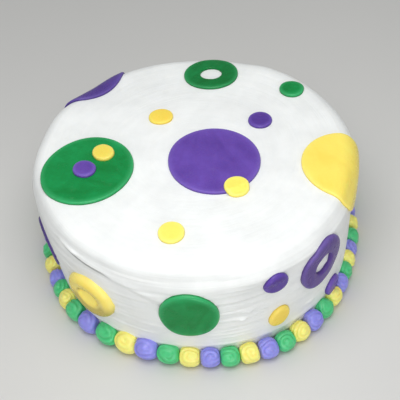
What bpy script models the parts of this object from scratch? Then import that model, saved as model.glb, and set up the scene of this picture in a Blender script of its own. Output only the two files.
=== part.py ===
"""A round birthday cake in smooth white icing, strewn with spots cut from rolled fondant.

Large discs, small dots and rings in purple, green and yellow lie on the top, fold over its
edge and stick to the side.  A border of piped icing beads runs round the foot.

Metres, +Z up.  The origin is the middle of the underside and the front faces -Y.
Angles go round the cake from the front, positive towards +X.
"""
import math

import bpy
from mathutils import Vector

MM = 0.001

# The iced cake
HEIGHT = 85 * MM
FOOT_RADIUS = 107.5 * MM
CROWN_RADIUS = 110.5 * MM      # the side leans out a little, up to the shoulder
SHOULDER = 12 * MM             # rounding between the side and the top
LEAN = Vector((-3.2 * MM, 1.0 * MM, 0))    # how far the top has slid from over the foot
OVAL = 1.3 * MM                # the top is this much out of round
OVAL_TURN = math.radians(52)
BODY_SIDES = 60
SHOULDER_STEPS = 6

# Rolled fondant
SHEET = 2.2 * MM               # thickness of the rolled sheet
THICK_SHEET = 3.0 * MM         # the yellow ring is cut from a thicker one
CUT_EDGE = 0.7 * MM            # rounding of a cut edge
SOFT_EDGE = 1.3 * MM
LARGE = 30.5 * MM              # radii of the three cutters
MEDIUM = 19 * MM
SMALL = 8 * MM
DISH_FLOOR = 1.2 * MM          # sheet left under the pressed-in middle of the yellow ring
REST_GAP = 0.35 * MM           # clearance between a spot and what it lies on
FOLD_GAP = 0.55 * MM           # the same where a large disc folds over the shoulder
EDGE_CLEAR = 1.5 * MM          # how far past a disc's edge a dot on it begins to droop
EDGE_DROOP = 4 * MM            # and over what distance it comes down
STEP = 2 * MM                  # stride of the walk that lays a spot on the icing

# Facets round a spot, and hoops across one that bends
LARGE_SIDES = 36
MEDIUM_SIDES = 28
SMALL_SIDES = 16
FOLD_HOOPS = 6
SIDE_HOOPS = 2
TOP_RING_HOOPS = 4
DROOP_HOOPS = 3

# The border
BEADS = 55
BEAD_SLICES = 4                # sections along each bead
BEAD_SIDES = 10                # and corners round each section
BORDER_RADIUS = 111.1 * MM     # circle through the middles of the beads
BORDER_WANDER = 2.0 * MM       # the piped ring weaves in and out of that circle
WANDER_TURN = math.radians(21)
BEAD_HEIGHT = 12.6 * MM
BEAD_DEPTH = 13.0 * MM         # from the icing outwards
BEAD_START = math.radians(-0.5)
SWELL = 0.31                   # beads are this much wider where the piping slowed down
SWELL_BEAD = -4
SWELL_SPAN = 2.7
BEAD_OVERLAP = 1.16            # neighbours press into each other
BEAD_SQUASH = 1.06             # and settle on what the cake stands on
DOT_MARGIN = 4 * MM            # the border bulges out round a dot that reaches down to it

PURPLE = (0.112, 0.052, 0.352)
GREEN = (0.010, 0.215, 0.055)
YELLOW = (0.965, 0.780, 0.165)
WHITE = (0.905, 0.915, 0.900)
LAVENDER = (0.262, 0.242, 0.800)

# Spots on the top: name, colour, cutter, distance from the middle (mm), angle (degrees)
TOP_DISCS = [
    ("disc_purple_top", PURPLE, LARGE + 0.3 * MM, 18.6, 51.0),
    ("disc_green_top", GREEN, LARGE + 0.7 * MM, 70.4, -82.0),
]
FOLDED_DISCS = [
    ("disc_yellow_edge", YELLOW, LARGE, 102.6, 75.2),
    ("disc_purple_edge", PURPLE, LARGE, 120.5, -140.5),
]
TOP_DOTS = [
    ("dot_yellow_back", YELLOW, 42.5, -152.0),
    ("dot_yellow_front", YELLOW, 75.2, -12.2),
    ("dot_green_top", GREEN, 94.6, 127.0),
    ("dot_purple_top", PURPLE, 55.8, 117.6),
]
STACKED_DOTS = [
    ("dot_purple_on_green", PURPLE, 72.4, -80.0),
    ("dot_yellow_on_green", YELLOW, 58.9, -92.3),
]
TOP_RING = ("ring_green_top", GREEN, 85.4, 167.4)
EDGE_DOT = ("dot_yellow_on_purple", YELLOW, 47.0, 35.0)
# Spots on the side: name, colour, height of the middle above the foot (mm), angle
SIDE_DISCS = [
    ("disc_green_front", GREEN, 50.0, -5.4),
    ("disc_purple_left", PURPLE, 46.0, -71.0),
    ("disc_green_rear", GREEN, 46.0, 118.0),
    ("disc_yellow_rear", YELLOW, 52.0, 178.0),
]
SIDE_RINGS = [
    ("ring_purple_side", PURPLE, 57.0, 42.8),
    ("ring_green_rear", GREEN, 44.0, -108.0),
    ("ring_purple_rear", PURPLE, 42.0, 150.0),
]
SIDE_DOTS = [
    ("dot_purple_side", PURPLE, 66.0, 23.5),
    ("dot_yellow_side", YELLOW, 30.6, 24.5),
    ("dot_purple_low", PURPLE, 18.5, 50.8),
    ("dot_green_right", GREEN, 24.0, 94.0),
    ("dot_yellow_rear", YELLOW, 68.0, 136.0),
    ("dot_purple_rear", PURPLE, 28.0, -166.0),
    ("dot_yellow_left", YELLOW, 26.0, -128.0),
    ("dot_green_rear", GREEN, 64.0, -164.0),
]
DISHED_RING = ("ring_yellow_side", YELLOW, 43.6, -41.2)


# The icing's surface ---------------------------------------------------------------------

SHOULDER_RADIUS = CROWN_RADIUS - SHOULDER      # the flat top ends here
SHOULDER_HEIGHT = HEIGHT - SHOULDER


def shoulder_end():
    """The angle at which the shoulder's arc runs straight into the leaning side."""
    run = FOOT_RADIUS - SHOULDER_RADIUS
    drop = -SHOULDER_HEIGHT
    return math.atan2(drop, run) + math.acos(SHOULDER / math.hypot(run, drop))


SIDE_ANGLE = shoulder_end()
SIDE_NORMAL = Vector((math.cos(SIDE_ANGLE), math.sin(SIDE_ANGLE)))
SIDE_DOWN = Vector((SIDE_NORMAL.y, -SIDE_NORMAL.x))
SIDE_TOP = Vector((SHOULDER_RADIUS, SHOULDER_HEIGHT)) + SHOULDER * SIDE_NORMAL
SHOULDER_LENGTH = SHOULDER * (math.pi / 2 - SIDE_ANGLE)
SIDE_LENGTH = (Vector((FOOT_RADIUS, 0)) - SIDE_TOP).length


def outline(along):
    """Radius and height of the icing at a distance along it from the middle of the top."""
    if along <= SHOULDER_RADIUS:
        return Vector((along, HEIGHT)), Vector((0, 1))
    along -= SHOULDER_RADIUS
    if along <= SHOULDER_LENGTH:
        angle = math.pi / 2 - along / SHOULDER
        normal = Vector((math.cos(angle), math.sin(angle)))
        return Vector((SHOULDER_RADIUS, SHOULDER_HEIGHT)) + SHOULDER * normal, normal
    return SIDE_TOP + (along - SHOULDER_LENGTH) * SIDE_DOWN, SIDE_NORMAL


def along_at_height(height):
    """Distance along the icing at which the side has come down to a height."""
    down = (height - SIDE_TOP.y) / SIDE_DOWN.y
    return SHOULDER_RADIUS + SHOULDER_LENGTH + down


def turn(flat, around):
    """Turns a (radius, height) pair to its angle round the cake."""
    return Vector((flat.x * math.sin(around), -flat.x * math.cos(around), flat.y))


def nearest(point):
    """The icing's closest point to a point near it, and the way the icing faces there."""
    around = math.atan2(point.x, -point.y)
    radius = math.hypot(point.x, point.y)
    angle = math.atan2(point.z - SHOULDER_HEIGHT, radius - SHOULDER_RADIUS)
    if radius <= SHOULDER_RADIUS:
        flat = Vector((radius, HEIGHT))
        normal = Vector((0, 1))
    elif angle > SIDE_ANGLE:
        normal = Vector((math.cos(angle), math.sin(angle)))
        flat = Vector((SHOULDER_RADIUS, SHOULDER_HEIGHT)) + SHOULDER * normal
    else:
        normal = SIDE_NORMAL
        down = (Vector((radius, point.z)) - SIDE_TOP).dot(SIDE_DOWN)
        flat = SIDE_TOP + down * SIDE_DOWN
    return turn(flat, around), turn(normal, around)


def settle(point):
    """The hand-made cake: its top has slid a little from over its foot and is not round."""
    rise = point.z / HEIGHT
    around = math.atan2(point.x, -point.y)
    radius = math.hypot(point.x, point.y)
    swell = OVAL * math.cos(2 * (around - OVAL_TURN)) * rise * radius / CROWN_RADIUS
    return point + rise * LEAN + turn(Vector((swell, 0)), around)


def lay(point, along, around, lift):
    """Carries a point of a flat spot onto the icing.

    The spot's middle goes to (along, around), and each point is reached by walking
    straight over the icing for its distance from the middle.  Its height becomes height
    off the icing.
    """
    flat, flat_normal = outline(along)
    place = turn(flat, around)
    normal = turn(flat_normal, around)
    right = Vector((math.cos(around), math.sin(around), 0))
    heading = right * point.x + normal.cross(right) * point.y
    distance = heading.length
    if distance > 0:
        strides = max(1, math.ceil(distance / STEP))
        heading.normalize()
        for _ in range(strides):
            place, normal = nearest(place + heading * (distance / strides))
            heading = (heading - heading.dot(normal) * normal).normalized()
    return settle(place + normal * (point.z + lift))


# Making pieces ---------------------------------------------------------------------------

def collection(name):
    """A new, empty collection in the scene."""
    found = bpy.data.collections.new(name)
    bpy.context.scene.collection.children.link(found)
    return found


def material(name, colour, roughness):
    """A plain Principled material."""
    made = bpy.data.materials.new(name)
    made.use_nodes = True
    shader = made.node_tree.nodes["Principled BSDF"]
    shader.inputs["Base Color"].default_value = (*colour, 1)
    shader.inputs["Roughness"].default_value = roughness
    shader.inputs["Metallic"].default_value = 0
    return made


def turned(name, profile, sides, closed=False):
    """A solid mesh turned round Z from a profile of (radius, height) pairs."""
    mesh = bpy.data.meshes.new(name)
    edges = [(i, i + 1) for i in range(len(profile) - 1)]
    if closed:
        edges.append((len(profile) - 1, 0))
    mesh.from_pydata([(r, 0, z) for r, z in profile], edges, [])
    piece = bpy.data.objects.new(name, mesh)
    bpy.context.scene.collection.objects.link(piece)
    screw = piece.modifiers.new("Turn", "SCREW")
    screw.steps = sides
    screw.render_steps = sides
    screw.use_merge_vertices = True
    screw.merge_threshold = 0.00001
    bpy.context.view_layer.update()
    finished = bpy.data.meshes.new_from_object(piece.evaluated_get(depsgraph()))
    bpy.data.objects.remove(piece)
    bpy.data.meshes.remove(mesh)
    finished.name = name
    return finished


def depsgraph():
    return bpy.context.evaluated_depsgraph_get()


def add_piece(mesh, look):
    """Puts a finished mesh in the cake's collection as a piece of the same name."""
    piece = bpy.data.objects.new(mesh.name, mesh)
    mesh.materials.clear()
    mesh.materials.append(look)
    CAKE.objects.link(piece)
    mesh.shade_smooth()
    mesh.set_sharp_from_angle(angle=math.radians(40))
    return piece


def cake_body(look):
    """The iced cake itself: flat top, rounded shoulder, side and underside."""
    shoulder = [SHOULDER_LENGTH * i / SHOULDER_STEPS for i in range(SHOULDER_STEPS + 1)]
    stations = [0, SHOULDER_RADIUS * 0.6]
    stations += [SHOULDER_RADIUS + length for length in shoulder]
    stations.append(SHOULDER_RADIUS + SHOULDER_LENGTH + SIDE_LENGTH / 2)
    profile = [outline(station)[0] for station in stations]
    profile += [Vector((FOOT_RADIUS, 0)), Vector((0, 0))]
    mesh = turned("iced_cake", profile, BODY_SIDES)
    for vertex in mesh.vertices:
        vertex.co = settle(vertex.co)
    return add_piece(mesh, look)


def cut_edge(radius, thickness, rounding):
    """The outer rim of a cut spot, from its upper face down to its lower one."""
    slope = math.sin(math.radians(45))
    return [
        (radius - rounding, thickness),
        (radius - rounding * (1 - slope), thickness - rounding * (1 - slope)),
        (radius, thickness - rounding),
        (radius - 0.3 * rounding, 0),
    ]


def disc_profile(radius, thickness, rounding, hoops):
    """A disc with some hoops across its faces, so that it can bend round the cake."""
    reach = [(radius - rounding) * i / hoops for i in range(hoops)]
    upper = [(r, thickness) for r in reach]
    lower = [(r, 0) for r in reversed(reach)]
    return upper + cut_edge(radius, thickness, rounding) + lower


def ring_profile(radius, hole, thickness, rounding, hoops):
    """A disc with a round hole cut through its middle."""
    band = radius - rounding - hole
    reach = [hole + band * i / hoops for i in range(1, hoops)]
    inner = [(hole, 0), (hole, thickness - rounding / 2), (hole + rounding / 2, thickness)]
    upper = [(r, thickness) for r in reach]
    lower = [(r, 0) for r in reversed(reach)]
    return inner + upper + cut_edge(radius, thickness, rounding) + lower


def dished_profile(radius, dish, thickness, rounding):
    """A disc whose middle is pressed down to a thin floor."""
    inner = [(0, DISH_FLOOR), (dish, DISH_FLOOR), (dish + rounding, thickness)]
    lower = [(dish, 0), (0, 0)]
    return inner + cut_edge(radius, thickness, rounding) + lower


def laid(name, profile, sides, along, around, lift, look, closed=False):
    """Turns a spot flat, then lays it on the cake."""
    mesh = turned(name, profile, sides, closed)
    for vertex in mesh.vertices:
        vertex.co = lay(vertex.co, along, math.radians(around), lift)
    return add_piece(mesh, look)


def top_spots(looks):
    """The discs, dots and ring that lie flat on the top."""
    for name, colour, radius, distance, around in TOP_DISCS:
        profile = disc_profile(radius, SHEET, CUT_EDGE, 1)
        laid(name, profile, LARGE_SIDES, distance * MM, around, REST_GAP, looks[colour])
    for name, colour, distance, around in TOP_DOTS:
        profile = disc_profile(SMALL, SHEET, CUT_EDGE, 1)
        laid(name, profile, SMALL_SIDES, distance * MM, around, REST_GAP, looks[colour])
    upper_lift = SHEET + 2 * REST_GAP
    for name, colour, distance, around in STACKED_DOTS:
        profile = disc_profile(SMALL, SHEET, CUT_EDGE, 1)
        laid(name, profile, SMALL_SIDES, distance * MM, around, upper_lift, looks[colour])
    name, colour, distance, around = TOP_RING
    profile = ring_profile(MEDIUM, SMALL, SHEET, CUT_EDGE, TOP_RING_HOOPS)
    laid(name, profile, MEDIUM_SIDES, distance * MM, around, FOLD_GAP, looks[colour], closed=True)


def folded_discs(looks):
    """The two large discs that fold over the top's edge and down the side."""
    for name, colour, radius, distance, around in FOLDED_DISCS:
        profile = disc_profile(radius, SHEET, CUT_EDGE, FOLD_HOOPS)
        laid(name, profile, LARGE_SIDES, distance * MM, around, FOLD_GAP, looks[colour])


def side_spots(looks):
    """The discs, rings and dots that stick to the side, all the way round."""
    for name, colour, height, around in SIDE_DISCS:
        along = along_at_height(height * MM)
        profile = disc_profile(MEDIUM, SHEET, CUT_EDGE, SIDE_HOOPS)
        laid(name, profile, MEDIUM_SIDES, along, around, REST_GAP, looks[colour])
    for name, colour, height, around in SIDE_RINGS:
        along = along_at_height(height * MM)
        profile = ring_profile(MEDIUM, SMALL, SHEET, CUT_EDGE, 1)
        laid(name, profile, MEDIUM_SIDES, along, around, REST_GAP, looks[colour], closed=True)
    for name, colour, height, around in SIDE_DOTS:
        along = along_at_height(height * MM)
        profile = disc_profile(SMALL, SHEET, CUT_EDGE, 1)
        laid(name, profile, SMALL_SIDES, along, around, REST_GAP, looks[colour])
    name, colour, height, around = DISHED_RING
    along = along_at_height(height * MM)
    profile = dished_profile(MEDIUM, SMALL, THICK_SHEET, SOFT_EDGE)
    laid(name, profile, MEDIUM_SIDES, along, around, REST_GAP, looks[colour])


def dot_over_edge(looks):
    """The yellow dot that lies half on the big purple disc and droops over its edge."""
    _, _, disc_radius, disc_distance, disc_around = TOP_DISCS[0]
    name, colour, distance, around = EDGE_DOT
    disc_middle = turn(Vector((disc_distance * MM, HEIGHT)), math.radians(disc_around))
    mesh = turned(name, disc_profile(SMALL, SHEET, CUT_EDGE, DROOP_HOOPS), SMALL_SIDES)
    for vertex in mesh.vertices:
        flat = lay(vertex.co, distance * MM, math.radians(around), 0)
        from_middle = (Vector(flat.xy) - Vector(settle(disc_middle).xy)).length
        share = (from_middle - disc_radius - EDGE_CLEAR) / EDGE_DROOP
        share = min(max(share, 0), 1)
        fall = (SHEET + REST_GAP) * share * share * (3 - 2 * share)
        vertex.co = flat + Vector((0, 0, SHEET + 2 * REST_GAP - fall))
    return add_piece(mesh, looks[colour])


# The piped border ------------------------------------------------------------------------

def bead_angles():
    """The middle and width of each bead as angles, one after another round the foot."""
    first = -(BEADS // 2)
    share = []
    for i in range(BEADS):
        off = (first + i - SWELL_BEAD) / SWELL_SPAN
        share.append(1 + SWELL * math.exp(-off * off))
    widths = [2 * math.pi * s / sum(share) for s in share]
    middles = [sum(widths[:i]) + widths[i] / 2 for i in range(BEADS)]
    start = BEAD_START - middles[-first]
    return [(middle + start, width) for middle, width in zip(middles, widths)]


def icing_radius(height):
    """Radius of the side at a height, before the cake settles."""
    return outline(along_at_height(height))[0].x


def clear_radius(around, height):
    """How near the middle the border may come: up to the icing, or a low dot on it."""
    least = icing_radius(height) + REST_GAP
    for _, _, dot_height, dot_around in SIDE_DOTS:
        across = (around - math.radians(dot_around)) * FOOT_RADIUS
        if math.hypot(across, height - dot_height * MM) < SMALL + DOT_MARGIN:
            return least + SHEET + REST_GAP
    return least


def border_point(beads, slice_number, section_angle):
    """A corner of the border: which section it is in, and where it lies round that."""
    bead, part = divmod(slice_number, BEAD_SLICES)
    middle, width = beads[bead]
    offset = part / BEAD_SLICES - 0.5
    around = middle + offset * width
    fullness = math.sqrt(1 - (2 * offset / BEAD_OVERLAP) ** 2)
    radius = BORDER_RADIUS + BORDER_WANDER * math.cos(4 * (middle - WANDER_TURN))
    radius += math.cos(section_angle) * fullness * BEAD_DEPTH / 2
    height = BEAD_HEIGHT / 2 * (1 + BEAD_SQUASH * math.sin(section_angle) * fullness)
    height = max(height, 0)
    radius = max(radius, clear_radius(around, height))
    return settle(turn(Vector((radius, height)), around))


def bead_border(look):
    """All the beads as one ring, pinched wherever two of them press into each other."""
    slices = BEADS * BEAD_SLICES
    bpy.ops.mesh.primitive_torus_add(
        major_segments=slices,
        minor_segments=BEAD_SIDES,
        major_radius=1,
        minor_radius=0.5,
        generate_uvs=False,
    )
    torus = bpy.context.object
    mesh = torus.data
    bpy.data.objects.remove(torus)
    mesh.name = "bead_border"
    beads = bead_angles()
    for vertex in mesh.vertices:
        around = math.atan2(vertex.co.y, vertex.co.x)
        slice_number = round(around / (2 * math.pi) * slices) % slices
        section_angle = math.atan2(vertex.co.z, math.hypot(vertex.co.x, vertex.co.y) - 1)
        section_angle += math.pi / BEAD_SIDES
        vertex.co = border_point(beads, slice_number, section_angle)
    return add_piece(mesh, look)


for old in list(bpy.data.objects):
    bpy.data.objects.remove(old)

CAKE = collection("birthday_cake")
FONDANT = {
    PURPLE: material("purple_fondant", PURPLE, 0.5),
    GREEN: material("green_fondant", GREEN, 0.5),
    YELLOW: material("yellow_fondant", YELLOW, 0.5),
}
cake_body(material("white_icing", WHITE, 0.55))
top_spots(FONDANT)
folded_discs(FONDANT)
side_spots(FONDANT)
dot_over_edge(FONDANT)
bead_border(material("piped_icing", LAVENDER, 0.5))
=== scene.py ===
# %% [markdown]
# # A birthday cake with rolled fondant spots
#
# This lesson dresses a round cake: smooth white buttercream, flat spots cut from coloured
# fondant, and a border of piped beads.  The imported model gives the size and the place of
# every piece, so the first step is to load it and to keep its box.

# %% Load the frame
import math

import bmesh
import bpy
import numpy as np
from mathutils import Matrix, Vector


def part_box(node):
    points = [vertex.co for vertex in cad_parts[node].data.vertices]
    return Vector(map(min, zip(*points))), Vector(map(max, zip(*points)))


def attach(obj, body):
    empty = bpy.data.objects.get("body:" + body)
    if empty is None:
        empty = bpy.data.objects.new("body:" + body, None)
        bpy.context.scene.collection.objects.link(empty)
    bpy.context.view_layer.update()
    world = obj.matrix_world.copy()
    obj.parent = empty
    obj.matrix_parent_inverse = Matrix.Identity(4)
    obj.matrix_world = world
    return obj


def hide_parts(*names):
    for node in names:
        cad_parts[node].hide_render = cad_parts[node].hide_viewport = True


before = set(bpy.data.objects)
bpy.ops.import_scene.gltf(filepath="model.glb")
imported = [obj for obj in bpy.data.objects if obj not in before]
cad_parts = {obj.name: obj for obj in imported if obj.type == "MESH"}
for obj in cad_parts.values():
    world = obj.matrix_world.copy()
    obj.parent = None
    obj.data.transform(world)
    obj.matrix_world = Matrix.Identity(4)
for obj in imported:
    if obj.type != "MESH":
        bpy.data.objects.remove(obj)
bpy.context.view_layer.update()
bpy.ops.object.select_all(action="DESELECT")

MM = 0.001
print("pieces in the frame:", len(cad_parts))

# %% [markdown]
# ## The camera
#
# The cake is seen from above and in front, by someone who stands close to it.  Three angles
# place the camera: how high it stands, how far it is tipped up from the middle of the foot,
# and how far it is rolled.  The lens is a long one, so near and far sides differ little.

# %% Place the camera
CAMERA_DISTANCE = 0.6119
CAMERA_HEIGHT_ANGLE = math.radians(48.03)
CAMERA_TIP = math.radians(2.54)
CAMERA_ROLL = math.radians(4.45)
CAMERA_LENS_MM = 73.8
CAMERA_SENSOR_MM = 36


def place_camera():
    """A camera that looks at the foot's middle, then is tipped up and rolled."""
    back = Vector((0, -math.cos(CAMERA_HEIGHT_ANGLE), math.sin(CAMERA_HEIGHT_ANGLE)))
    right = Vector((1, 0, 0))
    up = back.cross(right)
    tipped_back = math.cos(CAMERA_TIP) * back - math.sin(CAMERA_TIP) * up
    tipped_up = math.cos(CAMERA_TIP) * up + math.sin(CAMERA_TIP) * back
    rolled_right = math.cos(CAMERA_ROLL) * right - math.sin(CAMERA_ROLL) * tipped_up
    rolled_up = math.sin(CAMERA_ROLL) * right + math.cos(CAMERA_ROLL) * tipped_up
    turn_matrix = Matrix((rolled_right, rolled_up, tipped_back)).transposed().to_4x4()
    data = bpy.data.cameras.new("camera")
    data.lens = CAMERA_LENS_MM
    data.sensor_width = CAMERA_SENSOR_MM
    camera = bpy.data.objects.new("camera", data)
    camera.matrix_world = Matrix.Translation(back * CAMERA_DISTANCE) @ turn_matrix
    bpy.context.scene.collection.objects.link(camera)
    bpy.context.scene.camera = camera
    return camera


camera = place_camera()
print("camera stands at", [round(value, 3) for value in camera.location])

# %% [markdown]
# ## Materials from nodes
#
# Every finish here is a small network of nodes.  One helper adds a node, sets it up and
# connects it in a single call, and the short ones under it name the steps that every finish
# needs.  Another starts a shared group, for effects that several materials use.

# %% Helpers for nodes
def connect(tree, node, inputs):
    """Gives each input of a node a value, or the output of another node."""
    for name, value in inputs.items():
        if isinstance(value, bpy.types.NodeSocket):
            tree.links.new(value, node.inputs[name])
        else:
            node.inputs[name].default_value = value


def add_node(tree, kind, inputs=None, **settings):
    """Adds a node, sets it up and connects it."""
    made = tree.nodes.new("ShaderNode" + kind)
    for name, value in settings.items():
        setattr(made, name, value)
    connect(tree, made, inputs or {})
    return made


def mixed(tree, share, *ends):
    """A colour between two others, each of them fixed or the output of a node."""
    first, second = ((*end, 1) if isinstance(end, tuple) else end for end in ends)
    inputs = {"Factor": share, "A": first, "B": second}
    return add_node(tree, "Mix", inputs, data_type="RGBA").outputs["Result"]


def maths(tree, operation, *values, **settings):
    """One step of arithmetic with numbers."""
    return add_node(tree, "Math", dict(enumerate(values)), operation=operation, **settings).outputs[0]


def vectors(tree, operation, *values, out="Vector"):
    """One step of arithmetic with colours or vectors."""
    return add_node(tree, "VectorMath", dict(enumerate(values)), operation=operation).outputs[out]


def scaled(tree, vector, factor):
    """A colour or a vector times a number."""
    inputs = {0: vector, "Scale": factor}
    return add_node(tree, "VectorMath", inputs, operation="SCALE").outputs["Vector"]


def noise(tree, place, scale, detail, roughness=0.5):
    """Cloudy noise from 0 to 1."""
    inputs = {"Vector": place, "Scale": scale, "Detail": detail, "Roughness": roughness}
    return add_node(tree, "TexNoise", inputs).outputs["Fac"]


def spread(tree, value, start, end, low=0.0, high=1.0):
    """Carries the range from start to end over to the range from low to high."""
    inputs = {"Value": value, "From Min": start, "From Max": end, "To Min": low, "To Max": high}
    return add_node(tree, "MapRange", inputs).outputs["Result"]


def bumped(tree, height, strength, distance, under=None):
    """Fine relief in the surface, over other relief where that is given."""
    inputs = {"Height": height, "Strength": strength, "Distance": distance}
    if under is not None:
        inputs["Normal"] = under
    return add_node(tree, "Bump", inputs).outputs["Normal"]


def kept(tree, name, out="Fac"):
    """What the mesh keeps under a name."""
    return add_node(tree, "Attribute", attribute_name=name).outputs[out]


def start_group(name, inputs, outputs):
    """An empty node group with named sockets, and its two inner ends."""
    group = bpy.data.node_groups.new(name, "ShaderNodeTree")
    for in_out, sockets in (("INPUT", inputs), ("OUTPUT", outputs)):
        for socket, kind in sockets.items():
            group.interface.new_socket(socket, in_out=in_out, socket_type="NodeSocket" + kind)
    start = group.nodes.new("NodeGroupInput")
    end = group.nodes.new("NodeGroupOutput")
    return group, start.outputs, end.inputs


def new_material(name):
    """An empty material with its shader, and the place of each point of the piece."""
    material = bpy.data.materials.new(name)
    material.use_nodes = True
    tree = material.node_tree
    place = add_node(tree, "TexCoord").outputs["Object"]
    return material, tree, tree.nodes["Principled BSDF"], place


def dress(piece, material):
    """Gives a piece its one material."""
    piece.data.materials.clear()
    piece.data.materials.append(material)


print("helpers for nodes are ready")

# %% [markdown]
# ## The room: floor and light
#
# The cake stands on a plain pale floor.  Light comes from a broad panel overhead, a softer
# one in front, two small lamps near the camera and an even glow all round, so shadows stay
# soft and the white icing keeps its shape.

# %% Floor and lights
FLOOR_SIZE = 12.0
FLOOR_TONES = ((0.65, 0.645, 0.63), (0.67, 0.665, 0.65))
GLOW = (0.985, 1.0, 0.995)
GLOW_STRENGTH = 0.39
LIT_POINT = Vector((0, 0, 0.06))
LAMPS = [  # name, place, size, power
    ("ceiling_panel", (0, -0.06, 1.2), 1.2, 4.0),
    ("front_panel", (0.12, -1.0, 0.17), 0.5, 2.75),
    ("near_lamp", (-0.02, -0.15, 0.43), 0.3, 0.79),
    ("small_lamp", (0, -0.42, 0.48), 0.1, 0.12),
]


def make_floor():
    """A large plane under the cake, which isn't part of it."""
    bpy.ops.mesh.primitive_plane_add(size=FLOOR_SIZE)
    floor = bpy.context.object
    floor.name = "floor"
    material, tree, shader, place = new_material("pale_floor")
    tone = mixed(tree, noise(tree, place, 9.0, 3.0), *FLOOR_TONES)
    connect(tree, shader, {"Base Color": tone, "Roughness": 0.7})
    dress(floor, material)


def make_light(name, place, size, power):
    """A soft square lamp that faces the cake."""
    data = bpy.data.lights.new(name, "AREA")
    data.shape = "SQUARE"
    data.size = size
    data.energy = power
    light = bpy.data.objects.new(name, data)
    light.location = place
    light.rotation_euler = (LIT_POINT - Vector(place)).to_track_quat("-Z", "Y").to_euler()
    bpy.context.scene.collection.objects.link(light)


def make_glow():
    """An even glow from all round."""
    world = bpy.data.worlds.new("room")
    world.use_nodes = True
    background = world.node_tree.nodes["Background"]
    background.inputs["Color"].default_value = (*GLOW, 1)
    background.inputs["Strength"].default_value = GLOW_STRENGTH
    bpy.context.scene.world = world


make_floor()
make_glow()
for lamp in LAMPS:
    make_light(*lamp)
bpy.context.scene.view_settings.view_transform = "Standard"
print("lights:", [lamp[0] for lamp in LAMPS])

# %% [markdown]
# ## The shape of the icing
#
# A spatula leaves a flat top, a rounded shoulder and a side that leans out a little.  Seen in
# section that is a line, an arc and a line, so a place on the icing needs only two numbers:
# how far along that section it lies from the middle of the top, and its angle round the cake.
# The helpers below turn those two numbers into a point, and find them for a point.

# %% Sizes of the icing, as in the solids
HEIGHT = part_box("iced_cake")[1].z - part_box("iced_cake")[0].z
FOOT_RADIUS = 107.5 * MM
CROWN_RADIUS = 110.5 * MM
SHOULDER = 12 * MM
LEAN = np.array((-3.2 * MM, 1.0 * MM, 0))
OVAL = 1.3 * MM
OVAL_TURN = math.radians(52)
SHOULDER_RADIUS = CROWN_RADIUS - SHOULDER
SHOULDER_HEIGHT = HEIGHT - SHOULDER

run = FOOT_RADIUS - SHOULDER_RADIUS
slope = math.acos(SHOULDER / math.hypot(run, SHOULDER_HEIGHT))
SIDE_ANGLE = math.atan2(-SHOULDER_HEIGHT, run) + slope
SIDE_NORMAL = np.array((math.cos(SIDE_ANGLE), math.sin(SIDE_ANGLE)))
SIDE_DOWN = np.array((SIDE_NORMAL[1], -SIDE_NORMAL[0]))
SIDE_TOP = np.array((SHOULDER_RADIUS, SHOULDER_HEIGHT)) + SHOULDER * SIDE_NORMAL
SHOULDER_LENGTH = SHOULDER * (math.pi / 2 - SIDE_ANGLE)
print("the icing is", round(HEIGHT / MM, 1), "mm high")


def outline(along):
    """Radius and height of the icing, and the way it faces, at distances from the top's middle."""
    along = np.asarray(along, float)
    angle = np.clip(math.pi / 2 - (along - SHOULDER_RADIUS) / SHOULDER, SIDE_ANGLE, math.pi / 2)
    normal = np.stack([np.cos(angle), np.sin(angle)], -1)
    point = normal * SHOULDER + (SHOULDER_RADIUS, SHOULDER_HEIGHT)
    point[..., 0] += np.minimum(along - SHOULDER_RADIUS, 0)
    past = np.maximum(along - SHOULDER_RADIUS - SHOULDER_LENGTH, 0)
    return point + past[..., None] * SIDE_DOWN, normal


def along_at_height(height):
    """How far along the section the side has come down to a height."""
    return SHOULDER_RADIUS + SHOULDER_LENGTH + (height - SIDE_TOP[1]) / SIDE_DOWN[1]


def turn(flat, around):
    """Turns (radius, height) pairs to their angles round the cake."""
    flat = np.asarray(flat, float)
    return np.stack([flat[..., 0] * np.sin(around), -flat[..., 0] * np.cos(around), flat[..., 1]], -1)


def round_axis(points):
    """How far points are from the Z axis, and their angle round it, counted from the front."""
    return np.hypot(points[..., 0], points[..., 1]), np.arctan2(points[..., 0], -points[..., 1])


def on_icing(points):
    """For points near the icing: how far along it and round it they are."""
    radius, around = round_axis(points)
    angle = np.arctan2(points[..., 2] - SHOULDER_HEIGHT, radius - SHOULDER_RADIUS)
    down = (np.stack([radius, points[..., 2]], -1) - SIDE_TOP) @ SIDE_DOWN
    side = SHOULDER_RADIUS + SHOULDER_LENGTH + down
    arc = SHOULDER_RADIUS + SHOULDER * (math.pi / 2 - angle)
    along = np.where(angle > SIDE_ANGLE, arc, side)
    return np.where(radius <= SHOULDER_RADIUS, radius, along), around


def settle(points):
    """The hand-made cake: its top has slid a little from over its foot and is not quite round."""
    rise = points[..., 2] / HEIGHT
    radius, around = round_axis(points)
    swell = OVAL * np.cos(2 * (around - OVAL_TURN)) * rise * radius / CROWN_RADIUS
    return points + rise[..., None] * LEAN + turn(np.stack([swell, 0 * swell], -1), around)


# %% [markdown]
# ## What the spatula left behind
#
# No icing is perfectly even.  Broad, gentle waves come from the hand, and long low ridges run
# round the cake where the blade passed.  Both are a height in the direction that the icing
# faces.  Neither has a seam: the waves run through space, and the ridges close after a turn.

# %% Waves and strokes
WAVE_SIZES = (38 * MM, 95 * MM)
WAVE_HEIGHT = 0.32 * MM
STROKE_HEIGHT = 0.32 * MM


def bell(value):
    """A smooth bump that is 1 at 0 and fades on both sides."""
    return np.exp(-value * value)


def smooth_step(low, high, value):
    """Rises smoothly from 0 at low to 1 at high."""
    share = np.clip((value - low) / (high - low), 0, 1)
    return share * share * (3 - 2 * share)


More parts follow.
